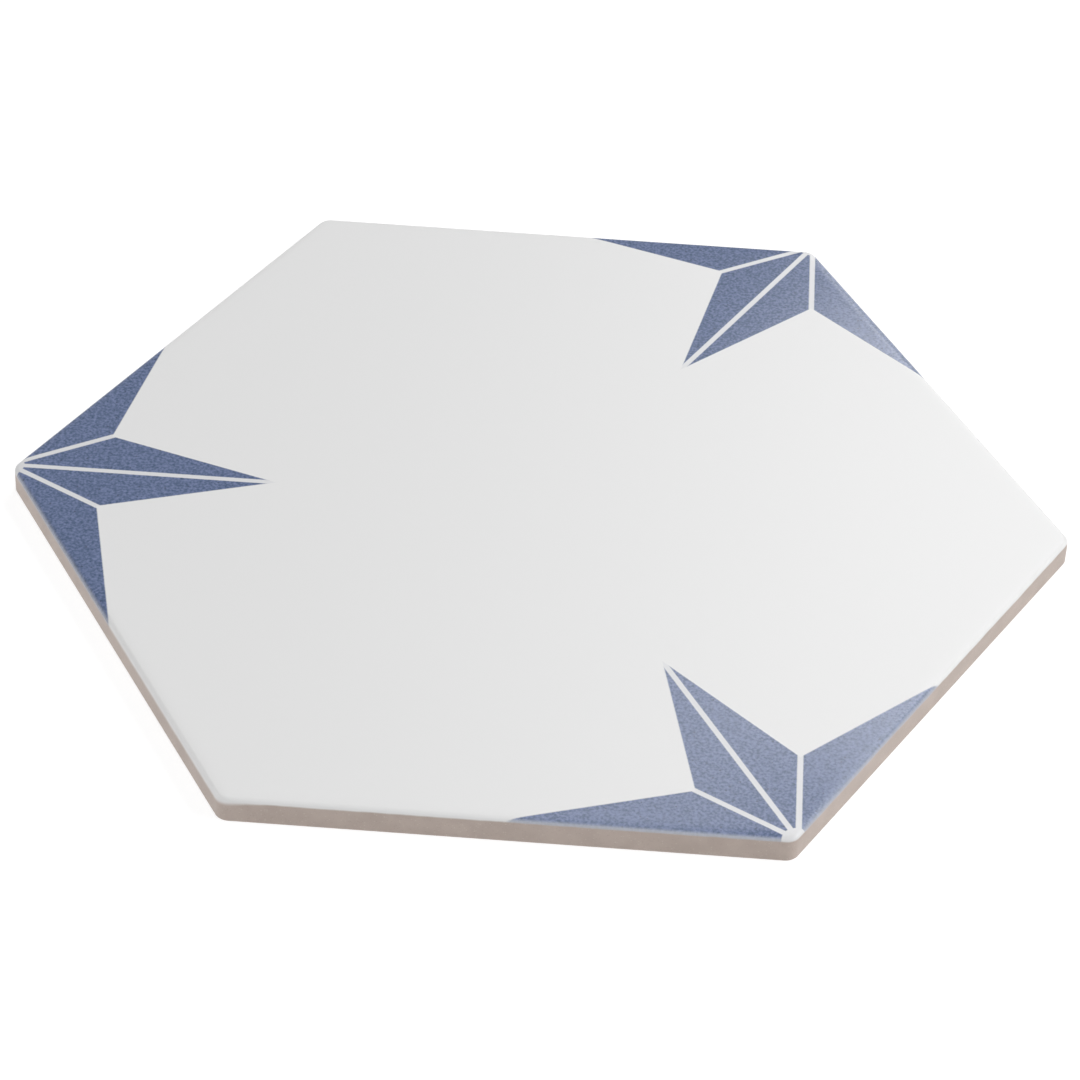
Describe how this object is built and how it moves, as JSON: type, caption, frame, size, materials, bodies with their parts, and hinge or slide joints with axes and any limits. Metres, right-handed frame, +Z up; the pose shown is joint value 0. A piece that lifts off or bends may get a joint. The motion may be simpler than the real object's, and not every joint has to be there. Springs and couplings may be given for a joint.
{
  "type": "hexagon floor tile",
  "caption": "Flat hexagonal porcelain floor tile with a soft rolled rim, pointed stars on alternate corners and a honeycomb of shallow key cells in its bed face.",
  "frame": {"origin": "middle of the bed face, in the plane that the tile lies on", "axes": "+Z up out of the glazed face, +X through a corner, so two opposite sides are parallel to X"},
  "size_m": [0.3276, 0.285, 0.0088],
  "materials": {
    "glazed_porcelain": "matte"
  },
  "bodies": {
    "root": {"hexagon_tile": "glazed_porcelain"}
  },
  "joints": []
}
